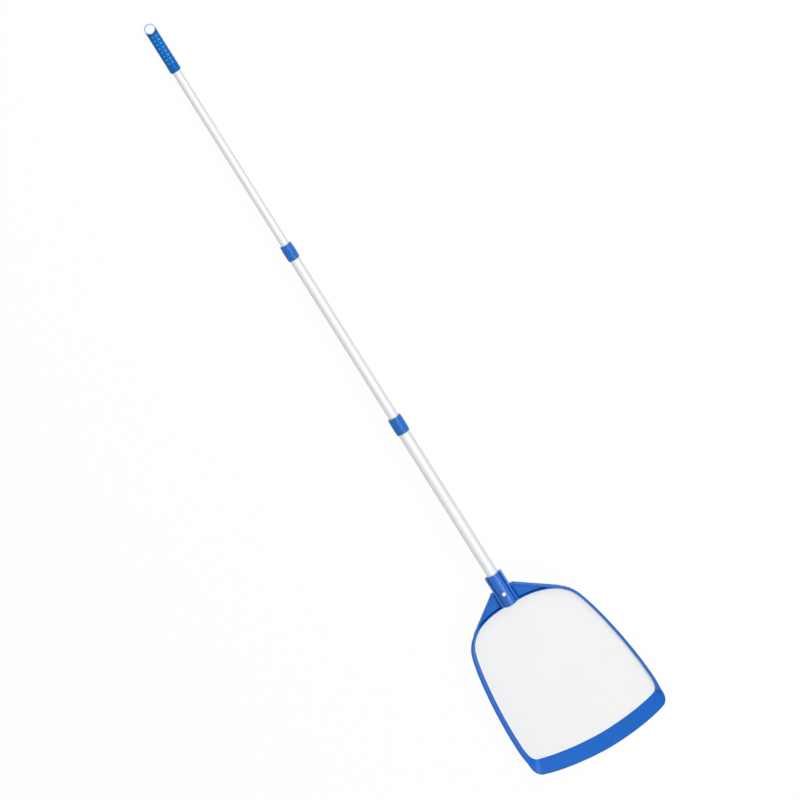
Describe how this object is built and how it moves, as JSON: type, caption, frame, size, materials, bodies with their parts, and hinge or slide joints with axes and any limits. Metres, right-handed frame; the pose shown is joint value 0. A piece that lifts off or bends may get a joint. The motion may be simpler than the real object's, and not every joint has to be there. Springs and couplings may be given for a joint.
{
  "type": "leaf skimmer net",
  "caption": "Flat leaf skimmer net with a moulded scoop rim and socket on a telescopic twist-lock pole, with a push-button clip and a grip with a hanging eye.",
  "frame": {"origin": "centre of the hanging hole in the grip, on the pole's axis", "axes": "+Y along the pole's axis towards the pan, +Z towards the pan's open side, +X across the pan"},
  "size_m": [0.2832, 1.5894, 0.0854],
  "materials": {
    "grip": "soft moulded, low gloss",
    "tube": "drawn and anodised, satin",
    "collar": "moulded",
    "lock": "moulded",
    "sleeve": "moulded",
    "screw": "zinc plated",
    "button": "moulded",
    "head": "moulded, semi-gloss",
    "net": "fine woven mesh"
  },
  "bodies": {
    "outer_pole": {"outer_tube": "tube", "lower_collar": "collar", "clip_bend": "sleeve", "front_clip_leg": "sleeve", "rear_clip_leg": "sleeve", "pole_socket": "head", "pan_rim": "head", "left_gusset": "head", "right_gusset": "head", "net": "net", "net_ring": "head"},
    "front_push": {"front_button": "button"},
    "rear_push": {"rear_button": "button"},
    "lower_lock": {"lower_lock_sleeve": "sleeve"},
    "lower_cone": {"lower_cone_nut": "lock"},
    "middle_pole": {"middle_tube": "tube", "upper_collar": "collar", "lower_lock_stud": "lock", "lower_lock_washer": "screw", "lower_lock_screw": "screw"},
    "upper_lock": {"upper_lock_sleeve": "sleeve"},
    "upper_cone": {"upper_cone_nut": "lock"},
    "inner_pole": {"inner_tube": "tube", "hand_grip": "grip", "upper_lock_stud": "lock", "upper_lock_washer": "screw", "upper_lock_screw": "screw"}
  },
  "joints": [
    {"name": "lower_slide", "type": "slide", "parent": "outer_pole", "child": "lower_lock", "axis": [0, 1, 0], "range_m": [0, 0.24]},
    {"name": "middle_twist", "type": "hinge", "parent": "lower_lock", "child": "middle_pole", "pos_m": [0, 0, 0], "axis": [0, -1, 0], "range_deg": [0, 180]},
    {"name": "lower_cone_slide", "type": "slide", "parent": "lower_lock", "child": "lower_cone", "axis": [0, 1, 0], "range_m": [0, 0.0008]},
    {"name": "upper_slide", "type": "slide", "parent": "middle_pole", "child": "upper_lock", "axis": [0, 1, 0], "range_m": [0, 0.325]},
    {"name": "inner_twist", "type": "hinge", "parent": "upper_lock", "child": "inner_pole", "pos_m": [0, 0, 0], "axis": [0, -1, 0], "range_deg": [0, 180]},
    {"name": "upper_cone_slide", "type": "slide", "parent": "upper_lock", "child": "upper_cone", "axis": [0, 1, 0], "range_m": [0, 0.0008]},
    {"name": "front_press", "type": "slide", "parent": "outer_pole", "child": "front_push", "axis": [0, 0, -1], "range_m": [0, 0.0034], "stiffness_N_per_m": 400, "springref_m": -0.004, "deforming": ["front_clip_leg"]},
    {"name": "rear_press", "type": "slide", "parent": "outer_pole", "child": "rear_push", "axis": [0, 0, 1], "range_m": [0, 0.0034], "stiffness_N_per_m": 400, "springref_m": -0.004, "deforming": ["rear_clip_leg"]}
  ],
  "couplings": [
    {"joint": "lower_cone_slide", "follows": "middle_twist", "m_per_rad": 0.00023873},
    {"joint": "upper_cone_slide", "follows": "inner_twist", "m_per_rad": 0.00023873}
  ]
}
